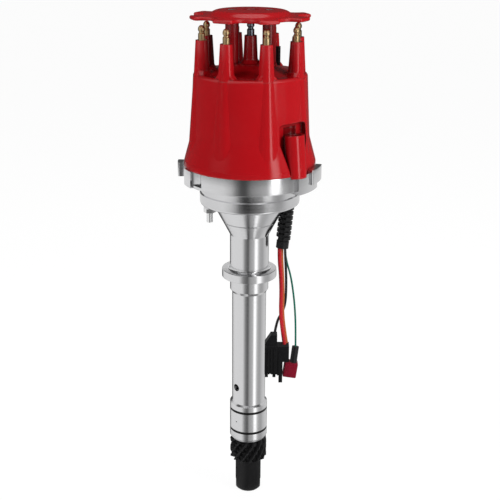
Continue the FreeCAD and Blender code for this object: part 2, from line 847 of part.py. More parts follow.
def rotor_tip_radius():
    """Reach of the rotor blade, short of the plug terminals."""
    return tower_circle_radius - terminal_radius - rotor_gap


def rotor_blade():
    """Brass strip on the rotor from its middle to the tip."""
    reach = rotor_tip_radius()
    strip = block(blade_width, reach + 4.0, blade_thickness, V(0, -(reach - 4.0) / 2, 0), rotor_top_z)
    return strip.common(rod(reach, rotor_top_z, rotor_top_z + blade_thickness))


def rotor_contact_spring():
    """Bent spring strip on the blade that presses up to the carbon button."""
    low = rotor_top_z + blade_thickness
    high = button_bottom_z() - 0.3
    strip = face_of([V(0, 3.4, low), V(0, 2.8, low), V(0, -1.4, high - 0.4), V(0, -2.0, high - 1.4),
                     V(0, -2.4, high - 1.3), V(0, -1.6, high), V(0, -0.6, high), V(0, 3.6, low + 0.6),
                     V(0, 6.0, low + 0.4), V(0, 6.0, low)])
    solid = strip.extrude(V(4.0, 0, 0))
    solid.translate(V(-2.0, 0, 0))
    return solid


def rotor_screws():
    """Two screws through the rotor base into the posts."""
    seat = rotor_bottom_z + rotor_base_height
    return [screw(2.6, 1.8, 0.9, seat, rotor_base_height + 4.0, centre) for centre in rotor_screw_centres()]


def button_bottom_z():
    """Lowest point of the carbon button at rest."""
    return plateau_z - cap_wall - coil_socket_length - button_stand_out


def carbon_button():
    """Sprung carbon button in the coil terminal's socket."""
    bottom = button_bottom_z()
    return lathe([(0, bottom), (button_radius - 0.8, bottom), (button_radius, bottom + 0.8),
                  (button_radius, bottom + button_length), (0, bottom + button_length)])


def button_spring():
    """Light spring over the carbon button, drawn as its outer tube."""
    bottom = button_bottom_z() + button_length
    top = plateau_z - cap_wall - 2.0
    return ring(button_radius - 1.0, button_radius - 0.4, bottom, top)


def cap_boss(extra, bottom_z):
    """Round column of the cap screw, leaning in towards its top."""
    top_z = bottom_z + cap_boss_height
    outer = cap_screw_circle_radius + 0.4
    return rod_between(cap_boss_radius + extra, polar(outer, cap_boss_azimuth, bottom_z),
                       polar(outer - cap_boss_lean, cap_boss_azimuth, top_z))


def cap_recess(extra):
    """Screwdriver recess over the boss column."""
    bottom_z = seat_z - cap_boss_overhang + cap_boss_height
    circle = cap_screw_circle_radius + 0.4 - cap_boss_lean
    return rod(cap_boss_radius + extra, bottom_z - 2.0, bottom_z + cap_recess_height + extra,
               polar(circle, cap_boss_azimuth))


def cap_shell(inset):
    """Turned body of the cap, or its cavity when it is inset by the wall."""
    flare_z = seat_z + cap_flare_height
    corners = [(0, seat_z), (cap_seat_radius - inset, seat_z),
               (cap_seat_radius - 0.2 - inset, seat_z + cap_skirt_height),
               (cap_flare_radius - inset, flare_z), (cap_deck_radius - inset, deck_z - inset),
               (cap_plateau_foot_radius, deck_z - inset), (cap_plateau_radius, plateau_z - inset),
               (0, plateau_z - inset)]
    shell = lathe(corners)
    shell = round_circles(shell, 14.0, [(cap_flare_radius - inset, flare_z)])
    shell = round_circles(shell, cap_plateau_blend, [(cap_plateau_foot_radius, deck_z - inset),
                                                     (cap_plateau_radius, plateau_z - inset)])
    return round_circles(shell, cap_edge_radius - inset / 2, [(cap_deck_radius - inset, deck_z - inset)])


def cap_niche(extra):
    """Wide arched recess in the cap's side round the boss, narrowing to the boss at its foot."""
    half = cap_niche_half_width + extra
    foot = cap_boss_radius + 0.2 + extra
    low_z = seat_z + 1.0
    top_z = seat_z + cap_niche_top + extra
    outline = face_of([V(-foot, 0, low_z), V(foot, 0, low_z), V(half, 0, seat_z + cap_niche_shoulder),
                       V(half, 0, top_z), V(-half, 0, top_z), V(-half, 0, seat_z + cap_niche_shoulder)])
    solid = outline.extrude(V(0, -20.0, 0))
    corners = [edge for edge in solid.Edges if edge.BoundBox.XLength + edge.BoundBox.ZLength < 0.01
               and abs(edge.BoundBox.ZMax - top_z) < 0.01]
    solid = solid.makeFillet(cap_niche_corner, corners)
    solid.translate(V(0, -(cap_niche_radius - extra), 0))
    return turned(solid, cap_boss_azimuth)


def tower(azimuth):
    """Plug tower with its flared root and the widening column that runs down the cap's side."""
    centre = polar(tower_circle_radius, azimuth)
    slope = (tower_base_radius - tower_top_radius) / tower_height
    root = Part.makeCone(tower_base_radius + tower_root_radius, tower_base_radius - tower_root_height * slope,
                         tower_root_height, V(centre.x, centre.y, deck_z), UP)
    root = root.common(rod(cap_deck_radius - cap_edge_radius / 2, deck_z, deck_z + tower_root_height))
    cone = Part.makeCone(tower_base_radius + 4.0 * slope, tower_top_radius, tower_height + 4.0,
                         V(centre.x, centre.y, deck_z - 4.0), UP)
    top = polar(tower_circle_radius, azimuth, deck_z - 1.5)
    tip = polar(column_tip_circle_radius, azimuth, deck_z - column_length)
    column = Part.makeCone(column_foot_radius, column_top_radius, (top - tip).Length, tip, top - tip)
    return [root, cone, column]


def distributor_cap():
    """Cap with eight plug towers, the coil tower, column ribs and two screw bosses."""
    outside = [cap_shell(0.0)]
    for azimuth in tower_azimuths:
        outside += tower(azimuth)
    outside.append(Part.makeCone(coil_tower_base_radius, coil_tower_top_radius, coil_tower_height,
                                 V(0, 0, plateau_z), UP))
    outside.append(Part.makeCone(coil_tower_base_radius + tower_root_radius, coil_tower_base_radius,
                                 tower_root_height, V(0, 0, plateau_z), UP))
    outside += [rod(retainer_pad_radius, plateau_z - cap_wall, plateau_z, centre)
                for centre in retainer_post_centres()]
    cap = joined(outside).cut(cap_shell(cap_wall))
    spigot_top_z = seat_z + cap_wall
    spigot_radius = rim_radius - rim_wall - 0.2
    lip = lathe([(spigot_radius - 3.0, seat_z - cap_spigot_depth), (spigot_radius, seat_z - cap_spigot_depth),
                 (spigot_radius, seat_z), (cap_seat_radius - 1.0, seat_z),
                 (cap_seat_radius - 1.0, spigot_top_z),
                 (spigot_radius - 3.0, spigot_top_z)])
    inside = [lip]
    inside.append(rod(coil_socket_radius + 2.0, plateau_z - cap_wall - coil_socket_length, plateau_z - 1.0))
    for azimuth in tower_azimuths:
        inside.append(rod(terminal_radius + 2.0, deck_z - cap_wall - 8.0, deck_z - 1.0,
                          polar(tower_circle_radius, azimuth)))
    within = cap_shell(1.0)
    inside += [bump.common(within) for bump in pair(cap_boss(2.6, seat_z + 0.2))]
    inside += [bump.common(within) for bump in pair(cap_recess(2.6))]
    inside += [bump.common(within) for bump in pair(cap_niche(2.6))]
    cap = joined([cap] + inside)
    for recess in pair(cap_recess(0.0)) + pair(cap_niche(0.0)):
        cap = cap.cut(recess)
    cap = joined([cap] + pair(cap_boss(0.0, seat_z - cap_boss_overhang)))
    for hole in cap_holes():
        cap = cap.cut(hole)
    return cap


def cap_holes():
    """Terminal bores, coil socket, retainer screw holes and the deep holes of the cap screws."""
    holes = [rod(terminal_radius, deck_z - cap_wall - 9.0, tower_top_z, polar(tower_circle_radius, azimuth))
             for azimuth in tower_azimuths]
    socket_bottom_z = plateau_z - cap_wall - coil_socket_length
    holes.append(rod(coil_socket_radius, socket_bottom_z, plateau_z - cap_wall))
    holes.append(rod(coil_terminal_radius, plateau_z - cap_wall, coil_tower_top_z))
    for centre in retainer_post_centres():
        holes.append(rod(retainer_screw_radius, plateau_z - cap_wall, plateau_z, centre))
    holes.append(rod(vent_plug_radius, deck_z, tower_top_z, vent_plug_centre()))
    screw_centre = polar(cap_screw_circle_radius, cap_boss_azimuth)
    holes += pair(rod(cap_screw_radius, seat_z - cap_boss_overhang - 2.0, cap_screw_seat_z(), screw_centre))
    holes += pair(rod(cap_screw_head_radius + screw_head_clearance, cap_screw_seat_z(),
                      cap_screw_seat_z() + cap_screw_seat_depth + cap_recess_height, screw_centre))
    return holes


def cap_screw_seat_z():
    """Height on which the cap screw's head sits, inside its boss."""
    return seat_z - cap_boss_overhang + cap_boss_height - cap_screw_seat_depth


def cap_screws():
    """Two long screws through the cap's bosses into the housing."""
    seat = cap_screw_seat_z()
    length = seat - (seat_z - cap_boss_overhang - cap_screw_grip)
    return pair(screw(cap_screw_head_radius, cap_screw_head_height, cap_screw_radius, seat, length,
                      polar(cap_screw_circle_radius, cap_boss_azimuth)))


def plug_terminals():
    """Eight brass terminals with a waist and a rounded head."""
    bottom = deck_z - cap_wall - terminal_inner_length
    top = tower_top_z + terminal_reach
    terminal = lathe([(0, bottom), (terminal_radius - 0.5, bottom), (terminal_radius, bottom + 0.5),
                      (terminal_radius, top - 6.4), (terminal_waist_radius, top - 5.6),
                      (terminal_waist_radius, top - 4.8), (terminal_radius, top - 3.8),
                      (terminal_radius, top - 2.2), (terminal_radius - 0.7, top - 0.7),
                      (terminal_radius - 1.6, top), (0, top)])
    copies = []
    for azimuth in tower_azimuths:
        copy = terminal.copy()
        copy.translate(polar(tower_circle_radius, azimuth))
        copies.append(copy)
    return copies


def coil_terminal():
    """Middle terminal with the socket of the carbon button at its lower end."""
    bottom = plateau_z - cap_wall - coil_socket_length
    top = coil_tower_top_z + coil_terminal_reach
    bore = button_radius + running_clearance
    return lathe([(bore, bottom), (coil_socket_radius, bottom), (coil_socket_radius, plateau_z - cap_wall),
                  (coil_terminal_radius, plateau_z - cap_wall), (coil_terminal_radius, top - 6.0),
                  (coil_terminal_radius - 0.8, top - 5.2), (coil_terminal_radius - 0.8, top - 4.4),
                  (coil_terminal_radius, top - 3.4), (coil_terminal_radius, top - 1.6),
                  (coil_terminal_radius - 1.4, top), (0, top), (0, plateau_z - cap_wall - 2.0),
                  (bore, plateau_z - cap_wall - 2.0)])


def retainer_post_centres():
    """Places of the two posts that carry the wire retainer."""
    return [V(-retainer_post_offset, 0, 0), V(retainer_post_offset, 0, 0)]


def wire_retainer():
    """Lobed disc over the plug wires, on two posts, with a domed hub."""
    disc = rod(retainer_radius, lobe_bottom_z, lobe_top_z)
    for azimuth in tower_azimuths:
        middle = azimuth + 180.0 / tower_count
        disc = disc.cut(rod(retainer_scallop_radius, lobe_bottom_z, lobe_top_z,
                            polar(retainer_scallop_circle, middle)))
    corners = [edge for edge in disc.Edges if abs(edge.BoundBox.ZLength - retainer_thickness) < 0.01]
    disc = disc.makeFillet(retainer_corner_radius, corners)
    rims = [edge for edge in disc.Edges if edge.BoundBox.ZLength < 0.01]
    disc = disc.makeFillet(retainer_edge_radius, rims)
    crown_radius = retainer_hub_radius - retainer_hub_slope
    hub = lathe([(0, lobe_bottom_z), (retainer_hub_radius + 3.0, lobe_bottom_z),
                 (retainer_hub_radius + 3.0, lobe_top_z), (retainer_hub_radius, lobe_top_z),
                 (crown_radius, retainer_top_z - 0.4),
                 (retainer_recess_radius, retainer_top_z),
                 (retainer_recess_radius, retainer_top_z - retainer_recess_depth),
                 (0, retainer_top_z - retainer_recess_depth)])
    hub = round_circles(hub, retainer_hub_blend, [(retainer_hub_radius, lobe_top_z),
                                                  (crown_radius, retainer_top_z - 0.4)])
    shapes = [disc, hub] + [rod(retainer_post_radius, plateau_z, lobe_bottom_z + 1.0, centre)
                            for centre in retainer_post_centres()]
    solid = joined(shapes)
    for centre in retainer_post_centres():
        solid = solid.cut(rod(retainer_screw_radius, plateau_z, retainer_top_z, centre))
        solid = solid.cut(rod(retainer_screw_head_radius + screw_head_clearance,
                              retainer_screw_seat_z(), retainer_top_z, centre))
    return solid


def retainer_screw_seat_z():
    """Height on which the retainer screws' heads sit."""
    return retainer_top_z - retainer_screw_sink


def retainer_screws():
    """Two long screws through the retainer's posts into the cap."""
    length = retainer_screw_seat_z() - plateau_z + cap_wall
    return [screw(retainer_screw_head_radius, retainer_screw_head_height, retainer_screw_radius,
                  retainer_screw_seat_z(), length, centre) for centre in retainer_post_centres()]


def pickup_plate():
    """Flat ring on the bowl floor that carries the pickup and the module."""
    plate = ring(pickup_plate_bore, pickup_plate_radius, floor_z, plate_top_z)
    for centre in floor_screw_centres():
        plate = plate.cut(rod(small_screw_radius, floor_z, plate_top_z, centre))
    beyond = boot_top + (boot_top - boot_bottom) * 2 * boot_hole_share
    return plate.cut(rod_between(boot_core_radius, boot_bottom, beyond))


def plate_screws():
    """Two screws of the pickup plate."""
    return [screw(small_screw_head_radius, small_screw_head_height, small_screw_radius,
                  plate_top_z, plate_thickness + floor_screw_depth, centre)
            for centre in floor_screw_centres()[2:]]


def ignition_module():
    """Curved electronic module on the plate, with its two screw holes."""
    top = plate_top_z + module_height
    body = sector(module_inner_radius, module_outer_radius, plate_top_z, top,
                  -module_half_angle, module_half_angle)
    for centre in floor_screw_centres()[:2]:
        body = body.cut(rod(small_screw_radius, plate_top_z, top, centre))
    return body


def module_screws():
    """Two screws through the module into the bowl floor."""
    seat = plate_top_z + module_height
    return [screw(small_screw_head_radius, small_screw_head_height, small_screw_radius,
                  seat, module_height + plate_thickness + floor_screw_depth, centre)
            for centre in floor_screw_centres()[:2]]


def pickup_middle_z():
    """Middle height of the reluctor and the pole piece."""
    return plate_top_z + 3.0 + reluctor_height / 2


def pickup_pole():
    """Pole piece that points at the reluctor."""
    inner = reluctor_radius + pickup_air_gap
    outer = inner + pickup_coil_length + 2.0
    return block(pickup_pole_size, outer - inner, pickup_pole_size, V(0, (inner + outer) / 2, 0),
                 pickup_middle_z() - pickup_pole_size / 2)


def pickup_coil():
    """Winding round the pole piece."""
    inner = reluctor_radius + pickup_air_gap + 1.2
    coil = block(pickup_coil_size, pickup_coil_length, pickup_coil_size,
                 V(0, inner + pickup_coil_length / 2, 0), pickup_middle_z() - pickup_coil_size / 2)
    return coil.cut(pickup_pole())


def pickup_magnet():
    """Magnet block behind the coil, standing on the plate."""
    inner = reluctor_radius + pickup_air_gap + pickup_coil_length + 2.0
    top = pickup_middle_z() + pickup_coil_size / 2
    return block(pickup_magnet_size, 6.0, top - plate_top_z, V(0, inner + 3.0, 0), plate_top_z)


def vent_plug_centre():
    """Place of the vent stem, between two rear towers."""
    return polar(tower_circle_radius - vent_plug_inset, vent_plug_azimuth)


def vent_plug():
    """Small dark stem let into the deck between two rear towers."""
    return rod(vent_plug_radius, deck_z, deck_z + vent_plug_height, vent_plug_centre())


def ground_nut():
    """Hexagon nut under the bowl."""
    corner = ground_nut_width / 2 / math.cos(math.radians(30))
    top = ground_seat_z
    points = [V(-ground_stud_offset + corner * math.cos(math.radians(60 * k)),
                corner * math.sin(math.radians(60 * k)), top) for k in range(6)]
    nut = face_of(points).extrude(V(0, 0, -ground_nut_height))
    return nut.cut(rod(ground_stud_root_radius, top - ground_nut_height, top, V(-ground_stud_offset, 0, 0)))


def ground_stud():
    """Earth stud screwed up into the bowl."""
    centre = V(-ground_stud_offset, 0, 0)
    nut_bottom = ground_seat_z - ground_nut_height
    bottom = nut_bottom - ground_stud_length
    stud = joined([rod(ground_stud_radius, bottom, nut_bottom, centre),
                   rod(ground_stud_root_radius, nut_bottom, floor_z - 2.0, centre)])
    return round_circles(stud, 0.5, [(ground_stud_radius, bottom)])


def strain_relief_boot():
    """Rubber boot from the bowl's underside, with staggered half ribs, closed round the leads."""
    length = (boot_top - boot_bottom).Length
    shapes = [rod(boot_core_radius, 0, length), rod(boot_collar_radius, 0, boot_collar_length)]
    for k in range(2 * boot_rib_count - 1):
        bottom = boot_collar_length + 1.6 + k * boot_rib_pitch / 2
        shapes.append(sector(boot_core_radius - 1.0, boot_rib_radius, bottom, bottom + boot_rib_thickness,
                             180.0 * (k % 2), 180.0 * (k % 2) + 180.0))
    boot = aimed(joined(shapes), boot_bottom, boot_top)
    return boot.cut(housing_outline()).Solids[0]


def lead_route(points):
    """Path of straight runs joined by tangent arcs, and the arcs' radii."""
    edges = []
    radii = []
    last = points[0]
    for before, corner, after in zip(points, points[1:], points[2:]):
        back = (before - corner).normalize()
        ahead = (after - corner).normalize()
        reach = 0.45 * min((before - corner).Length, (after - corner).Length)
        half_turn = (math.pi - back.getAngle(ahead)) / 2
        radii.append(reach / math.tan(half_turn))
        start = corner + back * reach
        end = corner + ahead * reach
        bisector = (back + ahead).normalize()
        depth = radii[-1] / math.cos(half_turn) - radii[-1]
        edges.append(Part.LineSegment(last, start).toShape())
        edges.append(Part.Arc(start, corner + bisector * depth, end).toShape())
        last = end
    edges.append(Part.LineSegment(last, points[-1]).toShape())
    return Part.Wire(edges), radii


def lead(name, route, radius):
    """Limp lead swept along its route."""
    points = [V(*point) for point in route]
    path, radii = lead_route(points)
    section = Part.Wire(Part.makeCircle(radius, points[0], points[1] - points[0]))
    solid = path.makePipeShell([section], True, False)
    share = solid.Volume / (math.pi * radius ** 2 * path.Length)
    print(name, "length", round(path.Length, 1), "volume share", round(share, 4),
          "least radius", round(min(radii), 1))
    return solid


red_route = [(25.0, 1.0, 24.1), (24.9, 0.4, 14.9), (26.3, -2, 1.6), (26.9, -5, -13.3),
             (26.5, -7.4, -28.8), (27.8, -9.8, -43.4), (30.0, -11.8, -57.7)]
orange_route = [(26.7, 3.9, 23.6), (26.7, 3.2, 14.0), (27.7, 1.0, 0.6), (28.3, -2.0, -14.5),
                (27.9, -4.4, -29.7), (29.2, -6.5, -43.4), (31.6, -8.8, -57.7)]
black_route = [(29.6, 2.2, 23.6), (30.2, 3.0, 12.6), (31.0, 3.4, -0.9), (31.2, 1.6, -14.1),
               (30.6, -0.2, -26.0), (27.8, -0.6, -34.0), (23.6, -3.6, -40.0), (21.8, -12.0, -46.8)]
green_route = [(29.3, 5.2, 23.6), (30.6, 6.3, 12.0), (34.8, 5.0, -1.5), (37.2, 2.2, -15.5),
               (38.7, -1.2, -28.8), (39.6, -4.6, -44.2), (39.7, -7, -61.8)]


def black_connector_corner():
    """Lower front left corner of the tall black connector."""
    return V(*black_route[-1]) - black_connector_lead_offset - V(0, 0, black_connector_height)


def black_connector():
    """Tall black connector with a sloping shoulder, a collar, grooves and two prongs."""
    corner = black_connector_corner()
    body = Part.makeBox(black_connector_width, black_connector_depth, black_connector_height, corner)
    top = corner + V(0, 0, black_connector_height)
    wedge = face_of([top, top + V(black_connector_slope_width, 0, 0),
                     top - V(0, 0, black_connector_slope_height)]).extrude(V(0, black_connector_depth, 0))
    body = body.cut(wedge)
    groove = Part.makeBox(black_connector_groove, black_connector_groove,
                          black_connector_groove_length, corner)
    for k in range(3):
        body = body.cut(groove.translated(V(1.6 + k * black_connector_groove_pitch, 0, 0)))
    collar = Part.makeBox(black_connector_width, black_connector_depth + 0.6, black_connector_collar,
                          corner + V(0, -0.6, black_connector_collar_offset))
    prong = Part.makeBox(black_connector_prong, black_connector_depth / 2, black_connector_prong_length,
                         corner + V(0.4, 2.0, -black_connector_prong_length))
    return joined([body, collar, prong, prong.translated(V(black_connector_prong_pitch, 0, 0))])


def lead_plug_corner():
    """Upper front left corner of the plug, so that both leads enter its top."""
    left = black_connector_corner().x + black_connector_width + lead_plug_gap
    return V(left, orange_route[-1][1] + thick_lead_radius + 0.2 - lead_plug_depth, red_route[-1][2])


def lead_plug():
    """Black plug on the red and orange leads, beside the tall connector."""
    corner = lead_plug_corner() - V(0, 0, lead_plug_height)
    body = Part.makeBox(lead_plug_width, lead_plug_depth, lead_plug_height, corner)
    skirt = Part.makeBox(lead_plug_skirt_width, lead_plug_depth - 2.0, lead_plug_skirt_length,
                         corner + V(0, 1.0, -lead_plug_skirt_length))
    return joined([body, skirt])


def plug_latch():
    """Springy latch arm on the front of the plug, bent at its end."""
    corner = lead_plug_corner() + V(1.4, 0, 0)
    outline = [(0, -6.0), (-1.2, -5.0), (-1.8, -24.0), (-0.2, -33.0), (1.0, -32.6), (-0.6, -24.0), (0, -14.0)]
    arm = face_of([corner + V(0, outward, height) for outward, height in outline])
    return arm.extrude(V(plug_latch_width, 0, 0))


def red_connector_top():
    """Middle of the wine-red connector's upper face, below and left of the green lead's end."""
    return V(*green_route[-1]) + red_connector_offset


def red_connector():
    """Wine-red connector at the end of the green lead, hanging a little tilted."""
    top = red_connector_top()
    corner = top - V(red_connector_width / 2, red_connector_depth / 2, red_connector_height)
    body = Part.makeBox(red_connector_width, red_connector_depth, red_connector_height, corner)
    body = body.makeFillet(red_connector_edge_radius, body.Edges)
    wall = red_connector_wall
    mouth = Part.makeBox(red_connector_width - 2 * wall, red_connector_depth - 2 * wall,
                         red_connector_height / 2, corner + V(wall, wall, 0))
    body = body.cut(mouth)
    body.rotate(top, V(0, 1, 0), red_connector_tilt)
    return body


def red_connector_seal():
    """Seal sleeve from the green lead down into the wine-red connector."""
    foot = red_connector_top() + red_connector_seal_foot
    sleeve = rod_between(red_connector_seal_radius, V(*green_route[-1]), foot)
    return sleeve.cut(red_connector())


def main():
    """Builds every node and writes its file."""
    os.makedirs("parts", exist_ok=True)
    save("housing", housing())
    save("lower_bushing", lower_bushing())
    save("bushing_pin", bushing_pin())
    save("o_ring_lower", o_ring(o_ring_offsets[0]))
    save("o_ring_upper", o_ring(o_ring_offsets[1]))
    save("bearing_outer_race", bearing_outer_race())
    save("bearing_inner_race", bearing_inner_race())
    save("bearing_balls", bearing_balls())
    save("bearing_snap_ring", bearing_snap_ring())
    save("shaft_seal", shaft_seal())
    save("main_shaft", main_shaft())
    save("drive_gear", drive_gear())
    save("gear_roll_pin", roll_pin())
    save("thrust_washer", thrust_washer())
    save("shaft_snap_ring", shaft_snap_ring())
    save("advance_cam", advance_cam())
    save("cam_plate", cam_plate())
    save("cam_clip", cam_clip())
    save("trigger_sleeve", trigger_sleeve())
    save("weight_plate", weight_plate())
    save("reluctor", reluctor())
    save("weight_pivot_pins", weight_pivot_pins())
    save("rotor_posts", rotor_posts())
    weight_a, weight_b = pair(flyweight())
    save("flyweight_a", weight_a)
    save("flyweight_b", weight_b)
    spring_a, spring_b = pair(advance_spring())
    save("advance_spring_a", spring_a)
    save("advance_spring_b", spring_b)
    save("rotor", rotor())
    save("rotor_blade", rotor_blade())
    save("rotor_contact_spring", rotor_contact_spring())
    save("rotor_screws", rotor_screws())
    save("carbon_button", carbon_button())
    save("button_spring", button_spring())
    save("distributor_cap", distributor_cap())
    save("cap_screws", cap_screws())
    save("plug_terminals", plug_terminals())
    save("coil_terminal", coil_terminal())
    save("wire_retainer", wire_retainer())
    save("retainer_screws", retainer_screws())
    save("pickup_plate", pickup_plate())
    save("plate_screws", plate_screws())
    save("ignition_module", ignition_module())
    save("module_screws", module_screws())
    save("pickup_pole", pickup_pole())
    save("pickup_coil", pickup_coil())
    save("pickup_magnet", pickup_magnet())
    save("vent_plug", vent_plug())
    save("ground_nut", ground_nut())
    save("ground_stud", ground_stud())
    save("strain_relief_boot", strain_relief_boot())
    save("lead_red", lead("red lead", red_route, thick_lead_radius))
    save("lead_orange", lead("orange lead", orange_route, thick_lead_radius))
    save("lead_black", lead("black lead", black_route, black_lead_radius))
    save("lead_green", lead("green lead", green_route, green_lead_radius))
    save("black_connector", black_connector())
    save("lead_plug", lead_plug())
    save("plug_latch", plug_latch())
    save("red_connector", red_connector())
    save("red_connector_seal", red_connector_seal())


main()
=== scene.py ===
import bpy
import math
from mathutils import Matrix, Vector


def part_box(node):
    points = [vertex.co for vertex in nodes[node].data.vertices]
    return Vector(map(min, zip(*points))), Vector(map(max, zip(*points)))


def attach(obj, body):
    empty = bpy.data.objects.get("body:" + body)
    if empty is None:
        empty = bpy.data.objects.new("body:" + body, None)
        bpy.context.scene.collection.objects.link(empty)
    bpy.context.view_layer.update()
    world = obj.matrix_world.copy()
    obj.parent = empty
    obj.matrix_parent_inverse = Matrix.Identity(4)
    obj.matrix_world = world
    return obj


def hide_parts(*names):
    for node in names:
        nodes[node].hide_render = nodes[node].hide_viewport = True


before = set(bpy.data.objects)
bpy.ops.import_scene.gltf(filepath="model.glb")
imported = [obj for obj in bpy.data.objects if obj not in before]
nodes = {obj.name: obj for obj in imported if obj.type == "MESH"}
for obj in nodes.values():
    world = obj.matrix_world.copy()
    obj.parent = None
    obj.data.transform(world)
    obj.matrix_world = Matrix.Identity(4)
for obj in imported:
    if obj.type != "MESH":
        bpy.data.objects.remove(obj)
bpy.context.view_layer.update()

# Distributor housing: one aluminium casting, turned on a lathe from the bowl's rim down to the
# journal. The lathe leaves fine rings round the shaft axis, and the mill leaves the rim, the ears
# and the notches bright.

number_socket = "NodeSocketFloat"
noise_span = (0.3, 0.7)  # where nearly all values of a noise texture lie
whole_span = (0.0, 1.0)
broad_rings_per_mark = 0.12
wear_samples = 4
wear_width = 0.0005
wear_span = (0.02, 0.14)  # how far the rounded edge turns away before it counts as worn


def new_effect(name, inputs, outputs):
    """A shader group with named sockets, and what goes into it and comes out of it."""
    effect = bpy.data.node_groups.new(name, "ShaderNodeTree")
    for in_out, sockets in (("INPUT", inputs), ("OUTPUT", outputs)):
        for socket, kind in sockets.items():
            effect.interface.new_socket(socket, in_out=in_out, socket_type=kind)
    given = effect.nodes.new("NodeGroupInput")
    result = effect.nodes.new("NodeGroupOutput")
    return effect, given.outputs, result.inputs


def fill_socket(tree, socket, value):
    """Links a socket to another one, or sets it to a plain value."""
    if isinstance(value, bpy.types.NodeSocket):
        tree.links.new(value, socket)
    else:
        socket.default_value = value


def math_node(tree, operation, first, second):
    """A Math node of two linked or plain numbers."""
    node = tree.nodes.new("ShaderNodeMath")
    node.operation = operation
    fill_socket(tree, node.inputs[0], first)
    fill_socket(tree, node.inputs[1], second)
    return node.outputs[0]


def noise_node(tree, place, scale, detail):
    """A noise texture read at a linked place."""
    noise = tree.nodes.new("ShaderNodeTexNoise")
    for socket, value in (("Vector", place), ("Scale", scale), ("Detail", detail)):
        fill_socket(tree, noise.inputs[socket], value)
    return noise.outputs["Fac"]


def map_range(tree, value, source, target):
    """Maps one span of numbers to another, and stays within it."""
    node = tree.nodes.new("ShaderNodeMapRange")
    tree.links.new(value, node.inputs["Value"])
    for socket, end in zip(("From Min", "From Max", "To Min", "To Max"), (*source, *target)):
        fill_socket(tree, node.inputs[socket], end)
    return node.outputs["Result"]


lathe_marks, given, result = new_effect(
    "Lathe marks",
    {"Pitch": number_socket, "Smoothest": number_socket, "Roughest": number_socket},
    {"Height": number_socket, "Roughness": number_socket})
place = lathe_marks.nodes.new("ShaderNodeTexCoord")
parts = lathe_marks.nodes.new("ShaderNodeSeparateXYZ")
lathe_marks.links.new(place.outputs["Object"], parts.inputs[0])
square_sum = math_node(lathe_marks, "ADD",
                       math_node(lathe_marks, "POWER", parts.outputs["X"], 2.0),
                       math_node(lathe_marks, "POWER", parts.outputs["Y"], 2.0))
profile_point = lathe_marks.nodes.new("ShaderNodeCombineXYZ")
lathe_marks.links.new(math_node(lathe_marks, "SQRT", square_sum, 0.0), profile_point.inputs["X"])
lathe_marks.links.new(parts.outputs["Z"], profile_point.inputs["Z"])
marks_per_metre = math_node(lathe_marks, "DIVIDE", 1.0, given["Pitch"])
broad_rings_per_metre = math_node(lathe_marks, "MULTIPLY", marks_per_metre, broad_rings_per_mark)
fine_rings = noise_node(lathe_marks, profile_point.outputs[0], marks_per_metre, 2.0)
broad_rings = noise_node(lathe_marks, profile_point.outputs[0], broad_rings_per_metre, 3.0)
sheen = map_range(lathe_marks, broad_rings, noise_span, (given["Smoothest"], given["Roughest"]))
lathe_marks.links.new(fine_rings, result["Height"])
lathe_marks.links.new(sheen, result["Roughness"])

worn_edges, given, result = new_effect(
    "Worn edges", {"Width": number_socket}, {"Edge": number_socket})
rounded = worn_edges.nodes.new("ShaderNodeBevel")
rounded.samples = wear_samples
worn_edges.links.new(given["Width"], rounded.inputs["Radius"])
surface = worn_edges.nodes.new("ShaderNodeNewGeometry")
likeness = worn_edges.nodes.new("ShaderNodeVectorMath")
likeness.operation = "DOT_PRODUCT"
worn_edges.links.new(rounded.outputs[0], likeness.inputs[0])
worn_edges.links.new(surface.outputs["Normal"], likeness.inputs[1])
turned_away = math_node(worn_edges, "SUBTRACT", 1.0, likeness.outputs["Value"])
worn_edges.links.new(map_range(worn_edges, turned_away, wear_span, whole_span), result["Edge"])


def shader_of(finish):
    """The Principled shader of a finish."""
    return finish.node_tree.nodes["Principled BSDF"]


def new_finish(name, colour, roughness, metallic=0.0, specular=0.5):
    """A material of one base colour, for detail to be added to."""
    finish = bpy.data.materials.new(name)
    finish.use_nodes = True
    sockets = shader_of(finish).inputs
    sockets["Base Color"].default_value = (*colour, 1.0)
    sockets["Roughness"].default_value = roughness
    sockets["Metallic"].default_value = metallic
    sockets["Specular IOR Level"].default_value = specular
    return finish


def place_effect(finish, effect, *values):
    """An effect group in a finish, with its inputs set in order."""
    node = finish.node_tree.nodes.new("ShaderNodeGroup")
    node.node_tree = effect
    for socket, value in zip(node.inputs, values):
        socket.default_value = value
    return node.outputs


def raise_surface(finish, height, depth, over=None):
    """Bump of a real depth, in metres, over the plain normal or another one."""
    bump = finish.node_tree.nodes.new("ShaderNodeBump")
    bump.inputs["Distance"].default_value = depth
    finish.node_tree.links.new(height, bump.inputs["Height"])
    if over:
        finish.node_tree.links.new(over, bump.inputs["Normal"])
    finish.node_tree.links.new(bump.outputs[0], shader_of(finish).inputs["Normal"])


def blend_colours(finish, mask, low, high):
    """Base colour between two, by a mask."""
    mix = finish.node_tree.nodes.new("ShaderNodeMix")
    mix.data_type = "RGBA"
    mix.inputs["A"].default_value = (*low, 1.0)
    mix.inputs["B"].default_value = (*high, 1.0)
    finish.node_tree.links.new(mask, mix.inputs["Factor"])
    finish.node_tree.links.new(mix.outputs["Result"], shader_of(finish).inputs["Base Color"])


def wear_edges(finish, colour, edge_colour):
    """Base colour that turns to another along worn edges."""
    edges = place_effect(finish, worn_edges, wear_width)
    blend_colours(finish, edges["Edge"], colour, edge_colour)


